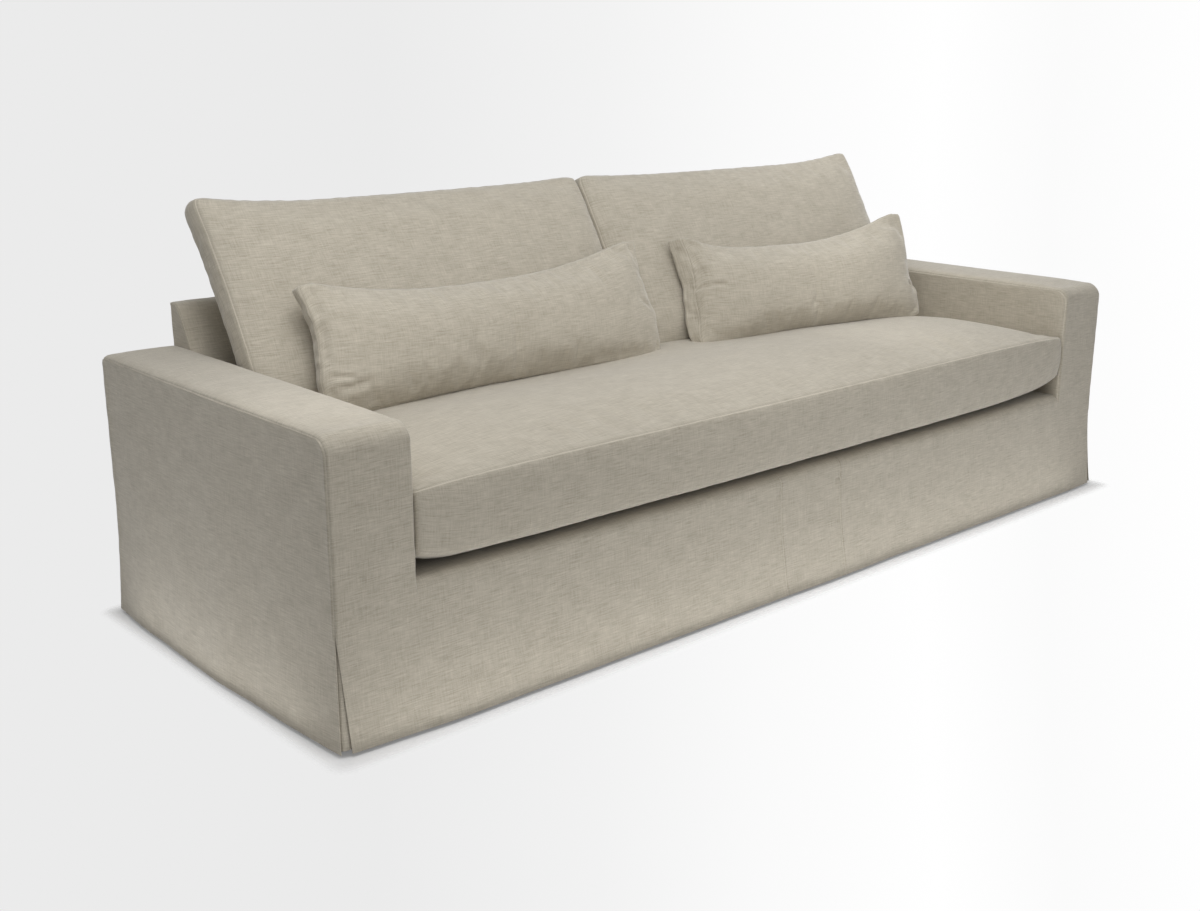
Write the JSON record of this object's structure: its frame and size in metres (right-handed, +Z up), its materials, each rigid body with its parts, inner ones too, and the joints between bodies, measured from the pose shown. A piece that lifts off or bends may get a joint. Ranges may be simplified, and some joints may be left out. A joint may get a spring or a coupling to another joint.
{
  "type": "sofa",
  "caption": "Long slipcovered sofa with square track arms, a bench seat cushion, loose leaning back cushions, lumbar pillows and a plain skirt to the floor.",
  "frame": {"origin": "centre of the sofa's box, on the floor", "axes": "+X along the length, to the right of someone who stands in front and looks at the sofa; +Y from front to back; +Z up"},
  "size_m": [2.628, 0.975, 0.9581],
  "materials": {
    "linen": "matte",
    "foam": "matte",
    "fibre_fill": "matte",
    "black_cloth": "matte",
    "zip_tape": "matte",
    "hardwood": "matte",
    "plywood": "matte",
    "spring_steel": "satin",
    "zinc": "satin",
    "nylon": "satin"
  },
  "bodies": {
    "frame": {"front_rail": "hardwood", "rear_rail": "hardwood", "end_rail_left": "hardwood", "end_rail_right": "hardwood", "spring_rail": "hardwood", "centre_stretcher": "hardwood", "leg_front_left": "hardwood", "leg_front_right": "hardwood", "leg_rear_left": "hardwood", "leg_rear_right": "hardwood", "leg_centre": "hardwood", "glide_front_left": "nylon", "glide_front_right": "nylon", "glide_rear_left": "nylon", "glide_rear_right": "nylon", "glide_centre": "nylon", "arm_front_board_left": "plywood", "arm_front_board_right": "plywood", "arm_rear_board_left": "plywood", "arm_rear_board_right": "plywood", "arm_top_board_left": "hardwood", "arm_top_board_right": "hardwood", "back_post_left": "hardwood", "back_post_right": "hardwood", "back_board": "plywood", "back_top_rail": "hardwood", "seat_springs": "spring_steel", "dust_cover": "black_cloth", "deck_padding": "foam", "arm_padding_left": "foam", "arm_padding_right": "foam", "back_padding": "foam", "arm_cover_left": "linen", "arm_cover_right": "linen", "deck_cover": "linen", "inner_back_cover": "linen", "outer_back_cover": "linen", "vent_underlap_left": "linen", "vent_underlap_right": "linen"},
    "seat_cushion": {"seat_cushion_cover": "linen", "seat_cushion_core": "foam", "seat_zip_tape": "zip_tape"},
    "seat_slider": {"seat_zip_slider": "zinc"},
    "back_cushion_left": {"back_cushion_cover_left": "linen", "back_cushion_insert_left": "fibre_fill", "back_zip_tape_left": "zip_tape"},
    "back_slider_left": {"back_zip_slider_left": "zinc"},
    "back_cushion_right": {"back_cushion_cover_right": "linen", "back_cushion_insert_right": "fibre_fill", "back_zip_tape_right": "zip_tape"},
    "back_slider_right": {"back_zip_slider_right": "zinc"},
    "pillow_left": {"pillow_cover_left": "linen", "pillow_insert_left": "fibre_fill", "pillow_zip_tape_left": "zip_tape"},
    "pillow_slider_left": {"pillow_zip_slider_left": "zinc"},
    "pillow_right": {"pillow_cover_right": "linen", "pillow_insert_right": "fibre_fill", "pillow_zip_tape_right": "zip_tape"},
    "pillow_slider_right": {"pillow_zip_slider_right": "zinc"}
  },
  "joints": [
    {"name": "seat_cushion_pull", "type": "slide", "parent": "frame", "child": "seat_cushion", "axis": [0, -1, 0], "range_m": [0, 0.82]},
    {"name": "back_cushion_left_lift", "type": "slide", "parent": "frame", "child": "back_cushion_left", "axis": [0, 0.5, 0.866], "range_m": [0, 0.6]},
    {"name": "back_cushion_right_lift", "type": "slide", "parent": "frame", "child": "back_cushion_right", "axis": [0, 0.5, 0.866], "range_m": [0, 0.6]},
    {"name": "pillow_left_lift", "type": "slide", "parent": "frame", "child": "pillow_left", "axis": [0, 0, 1], "range_m": [0, 0.5]},
    {"name": "pillow_right_lift", "type": "slide", "parent": "frame", "child": "pillow_right", "axis": [0, 0, 1], "range_m": [0, 0.5]},
    {"name": "seat_zip", "type": "slide", "parent": "seat_cushion", "child": "seat_slider", "axis": [-1, 0, 0], "range_m": [0, 1.476]},
    {"name": "back_zip_left", "type": "slide", "parent": "back_cushion_left", "child": "back_slider_left", "axis": [0.9998, 0.0192, 0], "range_m": [0, 0.716]},
    {"name": "back_zip_right", "type": "slide", "parent": "back_cushion_right", "child": "back_slider_right", "axis": [0.9998, -0.0192, 0], "range_m": [0, 0.716]},
    {"name": "pillow_zip_left", "type": "slide", "parent": "pillow_left", "child": "pillow_slider_left", "axis": [0.9991, 0.0419, 0], "range_m": [0, 0.376]},
    {"name": "pillow_zip_right", "type": "slide", "parent": "pillow_right", "child": "pillow_slider_right", "axis": [0.9863, -0.165, 0], "range_m": [0, 0.376]}
  ]
}
